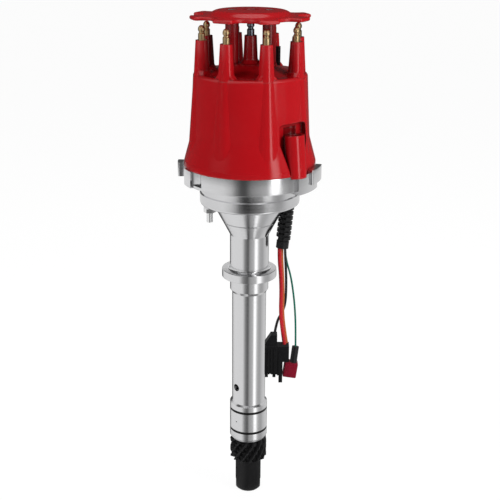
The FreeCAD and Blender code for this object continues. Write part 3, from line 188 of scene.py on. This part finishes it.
def turned_finish(name, colour, pitch, roughness, depth, edge_colour=None):
    """Lathe-turned metal: fine rings, uneven sheen and, if given, brighter worn edges."""
    smoothest, roughest = roughness
    finish = new_finish(name, colour, roughest, metallic=1.0)
    marks = place_effect(finish, lathe_marks, pitch, smoothest, roughest)
    finish.node_tree.links.new(marks["Roughness"], shader_of(finish).inputs["Roughness"])
    raise_surface(finish, marks["Height"], depth)
    if edge_colour:
        wear_edges(finish, colour, edge_colour)
    return finish


def dress(finish, *names):
    """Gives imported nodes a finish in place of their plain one."""
    for name in names:
        nodes[name].data.materials.clear()
        nodes[name].data.materials.append(finish)


turned_aluminium = turned_finish(
    "Turned aluminium", (0.76, 0.76, 0.77), pitch=0.0003, roughness=(0.15, 0.22), depth=0.000001,
    edge_colour=(0.9, 0.9, 0.9))
shader_of(turned_aluminium).inputs["Anisotropic"].default_value = 0.5
shader_of(turned_aluminium).inputs["Anisotropic Rotation"].default_value = 0.25
dress(turned_aluminium, "housing")

# Lower bushing: a sleeve of sintered bronze, pressed into the end of the stem, where the shaft
# runs in its oiled bore.

sintered_bronze = turned_finish(
    "Sintered bronze", (0.55, 0.36, 0.16), pitch=0.0005, roughness=(0.35, 0.5), depth=0.00001)
dress(sintered_bronze, "lower_bushing")

# Snap rings, cam clip and roll pin: spring steel with a grey zinc plating. The rings and the clip
# spring into grooves, and the pin is driven through the gear's hub and the shaft.

zinc_plated_steel = turned_finish(
    "Zinc plated steel", (0.62, 0.62, 0.6), pitch=0.0006, roughness=(0.3, 0.42), depth=0.000008)
dress(zinc_plated_steel, "bearing_snap_ring", "gear_roll_pin", "shaft_snap_ring", "cam_clip")

# O-rings, oil seal and vent plug: moulded nitrile rubber. The two O-rings lie in the grooves of the
# journal and seal the oil passage of the block, and the seal sits under the bearing.

fine_grain, given, result = new_effect(
    "Fine grain",
    {"Scale": number_socket, "Detail": number_socket,
     "Smoothest": number_socket, "Roughest": number_socket},
    {"Height": number_socket, "Roughness": number_socket})
place = fine_grain.nodes.new("ShaderNodeTexCoord")
grain = noise_node(fine_grain, place.outputs["Object"], given["Scale"], given["Detail"])
sheen = map_range(fine_grain, grain, noise_span, (given["Smoothest"], given["Roughest"]))
fine_grain.links.new(grain, result["Height"])
fine_grain.links.new(sheen, result["Roughness"])


def add_grain(finish, scale, detail, depth=None, roughness=None, over=None):
    """Grain all over a finish, as bump of a real depth, as uneven sheen, or as both."""
    grain = place_effect(finish, fine_grain, scale, detail, *(roughness or whole_span))
    if depth:
        raise_surface(finish, grain["Height"], depth, over)
    if roughness:
        finish.node_tree.links.new(grain["Roughness"], shader_of(finish).inputs["Roughness"])
    return grain


nitrile_rubber = new_finish("Nitrile rubber", (0.006, 0.006, 0.0065), 0.4, specular=0.3)
add_grain(nitrile_rubber, 2500.0, 4.0, depth=0.00004)
add_grain(nitrile_rubber, 180.0, 3.0, roughness=(0.32, 0.48))
dress(nitrile_rubber, "o_ring_lower", "o_ring_upper", "shaft_seal", "vent_plug")

# Upper ball bearing: two ground races and nine balls of hardened steel. The outer race is held in
# the bowl's floor, and the inner one grips the shaft.

bearing_steel = turned_finish(
    "Polished bearing steel", (0.68, 0.69, 0.7), pitch=0.0003, roughness=(0.08, 0.16),
    depth=0.000003)
dress(bearing_steel, "bearing_outer_race", "bearing_inner_race", "bearing_balls")

# Main shaft, thrust washer, trigger sleeve, weight pivots and rotor posts: steel bar, turned and
# ground. The shaft runs in the bearing and the bushing, and the sleeve turns on its upper end.

ground_steel = turned_finish(
    "Ground steel", (0.6, 0.6, 0.61), pitch=0.0002, roughness=(0.2, 0.3), depth=0.000006)
dress(ground_steel, "main_shaft", "thrust_washer", "trigger_sleeve", "weight_pivot_pins",
      "rotor_posts")

# Drive gear: iron hub with thirteen helical teeth, phosphated matt black and held by a roll pin,
# its crests and edges rubbed a little brighter. The pin that locks the bushing is blackened too.

iron_colour = (0.006, 0.006, 0.0065)
phosphated_iron = new_finish("Phosphated iron", iron_colour, 0.6, specular=0.25)
add_grain(phosphated_iron, 1800.0, 5.0, depth=0.00005, roughness=(0.45, 0.62))
wear_edges(phosphated_iron, iron_colour, (0.035, 0.035, 0.037))
dress(phosphated_iron, "drive_gear", "bushing_pin")

# Pickup plate: a ring of sheet aluminium with a satin face, screwed down in the bowl. It carries
# the sensor beside the trigger.

sheet_aluminium = new_finish("Satin sheet aluminium", (0.62, 0.62, 0.63), 0.38, metallic=1.0)
add_grain(sheet_aluminium, 900.0, 5.0, depth=0.00001)
dress(sheet_aluminium, "pickup_plate")

# Reluctor, pole piece, advance cam, plates and flyweights: steel stamped from sheet. The screws of
# the bowl, the rotor, the cap and the retainer are headed from wire and have the same dull sheen.

stamped_steel = new_finish("Stamped steel", (0.5, 0.49, 0.46), 0.42, metallic=1.0)
steel_patches = add_grain(stamped_steel, 160.0, 4.0, roughness=(0.34, 0.52))
blend_colours(stamped_steel, steel_patches["Height"], (0.42, 0.41, 0.38), (0.58, 0.57, 0.54))
dress(stamped_steel, "reluctor", "pickup_pole", "plate_screws", "module_screws", "weight_plate",
      "advance_cam", "cam_plate", "flyweight_a", "flyweight_b", "rotor_screws", "cap_screws",
      "retainer_screws")

# Pickup coil and magnet: enamelled copper wire wound on the pole piece, and a block of sintered
# magnet beside it. Both are fixed to the pickup plate.

ridges, given, result = new_effect(
    "Ridges", {"Scale": number_socket, "Direction": "NodeSocketVector"},
    {"Height": number_socket})
place = ridges.nodes.new("ShaderNodeTexCoord")
run = ridges.nodes.new("ShaderNodeVectorMath")
run.operation = "DOT_PRODUCT"
ridges.links.new(place.outputs["Object"], run.inputs[0])
ridges.links.new(given["Direction"], run.inputs[1])
run_point = ridges.nodes.new("ShaderNodeCombineXYZ")
ridges.links.new(run.outputs["Value"], run_point.inputs["X"])
wave = ridges.nodes.new("ShaderNodeTexWave")
ridges.links.new(run_point.outputs[0], wave.inputs["Vector"])
ridges.links.new(given["Scale"], wave.inputs["Scale"])
ridges.links.new(wave.outputs["Fac"], result["Height"])


def add_ridges(finish, scale, direction, depth):
    """Even ridges that follow each other in one direction, as on wound wire and threads."""
    raise_surface(finish, place_effect(finish, ridges, scale, direction)["Height"], depth)


enamelled_winding = new_finish("Enamelled winding", (0.42, 0.16, 0.06), 0.3, metallic=0.8)
add_ridges(enamelled_winding, 700.0, (0.0, 1.0, 0.0), depth=0.0001)
dress(enamelled_winding, "pickup_coil")
sintered_magnet = new_finish("Sintered magnet", (0.09, 0.09, 0.095), 0.6, metallic=0.5)
add_grain(sintered_magnet, 1500.0, 5.0, depth=0.00004)
dress(sintered_magnet, "pickup_magnet")

# Ignition module and rotor: black mouldings with a fine matt skin. The module curves round the
# shaft and is screwed down in the bowl, and the rotor is screwed to its posts.

black_moulding = new_finish("Black moulding", (0.004, 0.004, 0.0045), 0.4, specular=0.15)
add_grain(black_moulding, 1400.0, 4.0, depth=0.00004, roughness=(0.34, 0.46))
dress(black_moulding, "ignition_module", "rotor")

# Advance springs and button spring: drawn spring wire, shown as the tubes that their coils fill,
# with the turns raised on them. The advance springs hook over their posts.

spring_wire = new_finish("Spring wire", (0.4, 0.4, 0.41), 0.35, metallic=1.0)
add_ridges(spring_wire, 500.0, (0.5, 0.5, 0.5), depth=0.0003)
dress(spring_wire, "advance_spring_a", "advance_spring_b", "button_spring")

# Distributor cap and wire retainer: red thermoset mouldings with the gloss of the mould, a faint
# orange peel and rounded edges. Painted shade turns them a deeper red where they are enclosed,
# under the retainer and between the towers. Two long screws hold the cap, and the retainer stands
# on two posts.

open_red = (0.34, 0.003, 0.006)
# painted shade: the deeper red that enclosed places are darkened to
painted_shade_red = (0.11, 0.001, 0.002)
edge_radius = 0.0013
painted_shade_reach = 0.04
painted_shade_span = (0.3, 0.8)  # from fully enclosed to open, as a share of the sky that is seen

red_moulding = new_finish("Glossy red moulding", open_red, 0.2)
rounded = red_moulding.node_tree.nodes.new("ShaderNodeBevel")
rounded.samples = 6
rounded.inputs["Radius"].default_value = edge_radius
add_grain(red_moulding, 420.0, 2.0, depth=0.00003, over=rounded.outputs[0])
add_grain(red_moulding, 45.0, 3.0, roughness=(0.13, 0.19))
# Painted shade: an occlusion test blends the base colour from the open red to the deeper red where
# the retainer and the towers enclose the surface.
openness = red_moulding.node_tree.nodes.new("ShaderNodeAmbientOcclusion")
openness.samples = 8
openness.inputs["Distance"].default_value = painted_shade_reach
painted_shade_mask = map_range(red_moulding.node_tree, openness.outputs["AO"], painted_shade_span, whole_span)
blend_colours(red_moulding, painted_shade_mask, painted_shade_red, open_red)
dress(red_moulding, "distributor_cap", "wire_retainer")

# Terminals: eight turned brass studs moulded into the towers, and a much darker bright metal one in
# the middle. Inside the cap are the brass blade and contact spring of the rotor.

turned_brass = turned_finish(
    "Turned brass", (0.64, 0.47, 0.25), pitch=0.0003, roughness=(0.28, 0.4), depth=0.000006,
    edge_colour=(0.8, 0.65, 0.4))
dress(turned_brass, "plug_terminals", "rotor_blade", "rotor_contact_spring")
dark_terminal_metal = turned_finish(
    "Dark bright metal", (0.16, 0.17, 0.2), pitch=0.0003, roughness=(0.14, 0.24),
    depth=0.000006, edge_colour=(0.4, 0.41, 0.44))
dress(dark_terminal_metal, "coil_terminal")

# Carbon button: a small stud of pressed carbon in the socket of the middle tower. Its light spring
# presses it down on the rotor.

pressed_carbon = new_finish("Pressed carbon", (0.02, 0.02, 0.02), 0.6)
add_grain(pressed_carbon, 2600.0, 4.0, depth=0.00003)
dress(pressed_carbon, "carbon_button")

# Ground stud and its nut under the bowl: bright plated steel with a fine thread. The stud is
# screwed up into the casting.

bright_plating = new_finish("Bright plating", (0.88, 0.88, 0.88), 0.12, metallic=1.0)
add_ridges(bright_plating, 390.0, (0.0, 0.0, 1.0), depth=0.00006)
dress(bright_plating, "ground_nut", "ground_stud")

# Strain relief: a ribbed boot of moulded black rubber that grips the four leads. It is plugged
# into the bowl from below.

dress(nitrile_rubber, "strain_relief_boot")

# Leads: four stranded wires in soft coloured insulation, which hang beside the stem from the boot
# to their connectors. They are clamped by the boot and crimped in the connectors.


def insulation_finish(name, colour):
    """Soft extruded insulation with dull patches."""
    finish = new_finish(name, colour, 0.38, specular=0.25)
    add_grain(finish, 260.0, 3.0, depth=0.00004, roughness=(0.32, 0.46))
    return finish


def hang_lead(name, points, radius, insulation):
    """One lead as a smooth cord along its route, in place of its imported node."""
    curve = bpy.data.curves.new(name, "CURVE")
    curve.dimensions = "3D"
    spline = curve.splines.new("NURBS")
    spline.points.add(len(points) - 1)
    for point, place in zip(spline.points, points):
        point.co = (*place, 1.0)
    spline.use_endpoint_u = True
    spline.order_u = 3
    spline.resolution_u = 16
    curve.bevel_depth = radius
    curve.bevel_resolution = 6
    curve.use_fill_caps = True
    curve.materials.append(insulation)
    lead = bpy.data.objects.new(name, curve)
    lead.visible_glossy = False
    bpy.context.scene.collection.objects.link(lead)
    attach(lead, "housing")
    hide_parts("lead_" + name.split("_")[0])


hang_lead(
    "red_lead",
    [(0.025, 0.001, 0.0241), (0.0249, 0.0004, 0.0149), (0.0263, -0.002, 0.0016),
     (0.0269, -0.005, -0.0133), (0.0265, -0.0074, -0.0288), (0.0278, -0.0098, -0.0434),
     (0.03, -0.0118, -0.0577)],
    radius=0.0016, insulation=insulation_finish("Red insulation", (0.36, 0.007, 0.012)))
hang_lead(
    "orange_lead",
    [(0.0267, 0.0039, 0.0236), (0.0267, 0.0032, 0.014), (0.0277, 0.001, 0.0006),
     (0.0283, -0.002, -0.0145), (0.0279, -0.0044, -0.0297), (0.0292, -0.0065, -0.0434),
     (0.0316, -0.0088, -0.0577)],
    radius=0.0016, insulation=insulation_finish("Orange insulation", (0.34, 0.075, 0.015)))
hang_lead(
    "black_lead",
    [(0.0296, 0.0022, 0.0236), (0.0302, 0.003, 0.0126), (0.031, 0.0034, -0.0009),
     (0.0312, 0.0016, -0.0141), (0.0306, -0.0002, -0.026), (0.0278, -0.0006, -0.034),
     (0.0236, -0.0036, -0.04), (0.0218, -0.012, -0.0468)],
    radius=0.0011, insulation=insulation_finish("Black insulation", (0.012, 0.012, 0.013)))
hang_lead(
    "green_lead",
    [(0.0293, 0.0052, 0.0236), (0.0306, 0.0063, 0.012), (0.0348, 0.005, -0.0015),
     (0.0372, 0.0022, -0.0155), (0.0387, -0.0012, -0.0288), (0.0396, -0.0046, -0.0442),
     (0.0397, -0.007, -0.0618)],
    radius=0.0008, insulation=insulation_finish("Green insulation", (0.003, 0.11, 0.07)))

# Connectors at the ends of the leads: two black ones with ribs and a latch, and a wine-red one with
# its dark rubber seal. All are injection moulded, with a fine spark-eroded skin, and reflections
# leave them out as they do the leads.

dress(black_moulding, "black_connector", "lead_plug", "plug_latch")
dress(nitrile_rubber, "red_connector_seal")
wine_moulding = new_finish("Wine red moulding", (0.17, 0.001, 0.013), 0.3, specular=0.15)
add_grain(wine_moulding, 900.0, 4.0, depth=0.00004, roughness=(0.24, 0.36))
dress(wine_moulding, "red_connector")
for name in ("black_connector", "lead_plug", "plug_latch", "red_connector", "red_connector_seal"):
    nodes[name].visible_glossy = False

# Studio floor and surround: a matt pale floor under the nose of the gear, and white all round.
# The camera and reflections see them bright, and they light the part more gently.

floor_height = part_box("drive_gear")[0].z
floor_reach = 8.0
floor_glow_strength = 1.02
floor_glow_share = 0.92
surround_light = 0.4


def stage_mesh(name, corners, faces, material):
    """A sheet of the studio, with one material."""
    mesh = bpy.data.meshes.new(name)
    mesh.from_pydata(corners, [], faces)
    mesh.materials.append(material)
    sheet = bpy.data.objects.new(name, mesh)
    bpy.context.scene.collection.objects.link(sheet)
    return sheet


def background_rays(tree):
    """1 for the rays that show the background: straight on, in a reflection or through glass."""
    rays = tree.nodes.new("ShaderNodeLightPath").outputs
    bent = math_node(tree, "MAXIMUM", rays["Is Glossy Ray"], rays["Is Transmission Ray"])
    return math_node(tree, "MAXIMUM", rays["Is Camera Ray"], bent)


floor_paint = new_finish("Floor paint", (0.9, 0.9, 0.9), 0.9)
floor_tree = floor_paint.node_tree
floor_glow = floor_tree.nodes.new("ShaderNodeEmission")
floor_glow.inputs["Strength"].default_value = floor_glow_strength
glow_share = math_node(floor_tree, "MULTIPLY", background_rays(floor_tree), floor_glow_share)
floor_mix = floor_tree.nodes.new("ShaderNodeMixShader")
floor_tree.links.new(glow_share, floor_mix.inputs[0])
floor_tree.links.new(shader_of(floor_paint).outputs[0], floor_mix.inputs[1])
floor_tree.links.new(floor_glow.outputs[0], floor_mix.inputs[2])
floor_tree.links.new(floor_mix.outputs[0], floor_tree.nodes["Material Output"].inputs["Surface"])
stage_mesh(
    "Floor",
    [(-floor_reach, -floor_reach, floor_height), (floor_reach, -floor_reach, floor_height),
     (floor_reach, floor_reach, floor_height), (-floor_reach, floor_reach, floor_height)],
    [(0, 1, 2, 3)], floor_paint)

surround = bpy.data.worlds.new("White surround")
bpy.context.scene.world = surround
surround.use_nodes = True
background = surround.node_tree.nodes["Background"]
background.inputs["Color"].default_value = (1.0, 1.0, 1.0, 1.0)
surround_strength = map_range(surround.node_tree, background_rays(surround.node_tree),
                              whole_span, (surround_light, 1.0))
surround.node_tree.links.new(surround_strength, background.inputs["Strength"])

# Lamps: three soft boxes, on the right, on the left and above, all aimed at the cap. They are left
# out of reflections, which the screens below shape.

lamp_target = Vector((0.0, 0.0, 0.08))


def soft_lamp(name, place, width, height, power):
    """A rectangular soft box aimed at the cap."""
    light = bpy.data.lights.new(name, "AREA")
    light.shape = "RECTANGLE"
    light.size = width
    light.size_y = height
    light.energy = power
    lamp = bpy.data.objects.new(name, light)
    bpy.context.scene.collection.objects.link(lamp)
    lamp.location = place
    lamp.rotation_euler = (lamp_target - lamp.location).to_track_quat("-Z", "Y").to_euler()
    lamp.visible_glossy = False


soft_lamp("Right soft box", (0.85, -0.45, 0.35), width=0.3, height=0.9, power=10.0)
soft_lamp("Left soft box", (-0.9, -0.6, 0.5), width=0.6, height=0.9, power=7.0)
soft_lamp("Top soft box", (0.1, 0.3, 1.1), width=0.6, height=0.6, power=6.0)

# Reflection screens: shaded cards turned round the shaft axis, which only reflections see. They
# draw the dark, grey and white stripes down the bright metal, and the light stripe on the cap.

screen_steps = 96
screen_radius = 0.15
stem_radius = 0.1
nose_radius = 0.014
roof_radius = 0.045
floor_gap = 0.001
screen_foot = floor_height + floor_gap
collar_level = 0.014
band_level = 0.032
rim_level = 0.048
cap_level = 0.068
terminal_level = 0.184
roof_level = 0.3
metal_glow = 1.5
cap_glow = 4.0
terminal_glow = 1.9
roof_glow = 1.4


def reflection_screen(name, profile, strength, stops):
    """A card with a profile of radius and height, shaded by azimuth in degrees from the front."""
    turns = [2 * math.pi * step / screen_steps for step in range(screen_steps)]
    corners = [(radius * math.sin(turn), -radius * math.cos(turn), height)
               for radius, height in profile for turn in turns]
    faces = []
    for row in range(len(profile) - 1):
        low, high = row * screen_steps, (row + 1) * screen_steps
        for step in range(screen_steps):
            after = (step + 1) % screen_steps
            faces.append((low + step, low + after, high + after, high + step))

    paint = bpy.data.materials.new(name)
    paint.use_nodes = True
    tree = paint.node_tree
    place = tree.nodes.new("ShaderNodeTexCoord")
    parts = tree.nodes.new("ShaderNodeSeparateXYZ")
    tree.links.new(place.outputs["Object"], parts.inputs[0])
    front = math_node(tree, "MULTIPLY", parts.outputs["Y"], -1.0)
    azimuth = math_node(tree, "ARCTAN2", parts.outputs["X"], front)
    turn_share = math_node(tree, "ADD", math_node(tree, "DIVIDE", azimuth, 2 * math.pi), 0.5)
    ramp = tree.nodes.new("ShaderNodeValToRGB")
    tree.links.new(turn_share, ramp.inputs[0])
    marks = ramp.color_ramp.elements
    for mark, (angle, shade) in ((marks[0], stops[0]), (marks[1], stops[-1])):
        mark.color = (shade, shade, shade, 1.0)
    for angle, shade in stops:
        mark = marks.new(angle / 360.0 + 0.5)
        mark.color = (shade, shade, shade, 1.0)
    glow = tree.nodes.new("ShaderNodeEmission")
    glow.inputs["Strength"].default_value = strength
    tree.links.new(ramp.outputs[0], glow.inputs["Color"])
    tree.links.new(glow.outputs[0], tree.nodes["Material Output"].inputs["Surface"])

    screen = stage_mesh(name, corners, faces, paint)
    screen.visible_camera = False
    screen.visible_diffuse = False
    screen.visible_transmission = False
    screen.visible_shadow = False


reflection_screen(
    "Cone screen", [(nose_radius, screen_foot), (stem_radius, screen_foot)], metal_glow,
    [(-168, 0.04), (-140, 0.08), (-100, 0.12), (-60, 0.5), (-36, 0.55), (-26, 0.4), (-20, 0.06),
     (-4, 0.03), (2, 0.15), (20, 0.2), (40, 0.08), (70, 0.12), (110, 0.2), (140, 0.12),
     (168, 0.04)])
reflection_screen(
    "Stem screen",
    [(stem_radius, screen_foot), (screen_radius, screen_foot), (screen_radius, collar_level)],
    metal_glow,
    [(-168, 0.04), (-142, 0.06), (-132, 0.5), (-100, 0.55), (-40, 0.54), (-33, 0.4),
     (-27, 0.24), (-20, 0.15), (-9, 0.08), (-4, 0.09), (3, 0.25), (15, 0.32), (27, 0.38),
     (33, 0.9), (44, 0.95), (52, 0.5), (60, 0.34), (66, 0.3), (81, 0.28), (98, 0.4),
     (120, 0.46), (146, 0.45), (154, 0.1), (168, 0.04)])
reflection_screen(
    "Collar screen", [(screen_radius, collar_level), (screen_radius, band_level)], metal_glow,
    [(-170, 0.5), (-54, 0.5), (-24, 0.2), (0, 0.04), (14, 0.1), (45, 0.25), (80, 0.4),
     (170, 0.5)])
reflection_screen(
    "Band screen", [(screen_radius, band_level), (screen_radius, rim_level)], metal_glow,
    [(-170, 0.5), (-100, 0.5), (-54, 0.54), (-36, 0.42), (-28, 0.28), (-20, 0.06), (-10, 0.0),
     (0, 0.0), (8, 0.02), (14, 0.05), (28, 0.12), (45, 0.3), (58, 0.22), (68, 0.24), (86, 0.45),
     (160, 0.5), (170, 0.5)])
reflection_screen(
    "Rim screen", [(screen_radius, rim_level), (screen_radius, cap_level)], metal_glow,
    [(-170, 0.5), (-100, 0.58), (-38, 0.6), (-26, 0.45), (-19, 0.2), (-12, 0.06), (-5, 0.07),
     (3, 0.24), (14, 0.34), (25, 0.42), (31, 0.95), (42, 0.95), (49, 0.4), (63, 0.22),
     (79, 0.36), (100, 0.45), (170, 0.5)])
reflection_screen(
    "Cap screen", [(screen_radius, cap_level), (screen_radius, terminal_level)], cap_glow,
    [(-170, 0.02), (-100, 0.02), (-60, 0.015), (-10, 0.01), (30, 0.012), (33, 0.8), (41, 0.8),
     (45, 0.015), (80, 0.03), (120, 0.02), (170, 0.02)])
reflection_screen(
    "Terminal screen", [(screen_radius, terminal_level), (screen_radius, roof_level)],
    terminal_glow,
    [(-170, 0.02), (-110, 0.03), (-80, 0.3), (-60, 0.5), (-20, 0.3), (-10, 0.12), (20, 0.15),
     (26, 1.0), (50, 1.0), (56, 0.3), (80, 0.2), (110, 0.03), (170, 0.02)])
reflection_screen(
    "Roof ring", [(roof_radius, roof_level), (screen_radius, roof_level)], roof_glow,
    [(-170, 0.03), (-100, 0.05), (-60, 0.8), (0, 1.0), (60, 0.8), (100, 0.05), (170, 0.03)])

# Camera: a little above the wire retainer and looking down at the stem, as in the photograph, with
# a slight roll.

lens = bpy.data.cameras.new("Camera")
lens.sensor_width = 36.0
lens.lens = 72.0
camera = bpy.data.objects.new("Camera", lens)
bpy.context.scene.collection.objects.link(camera)
camera.location = (0.0005, -0.7846, 0.2918)
camera.rotation_mode = "ZYX"
camera.rotation_euler = (math.radians(71.03), 0.0, math.radians(0.35))
bpy.context.scene.camera = camera
bpy.context.scene.view_settings.view_transform = "Standard"

bpy.context.view_layer.update()
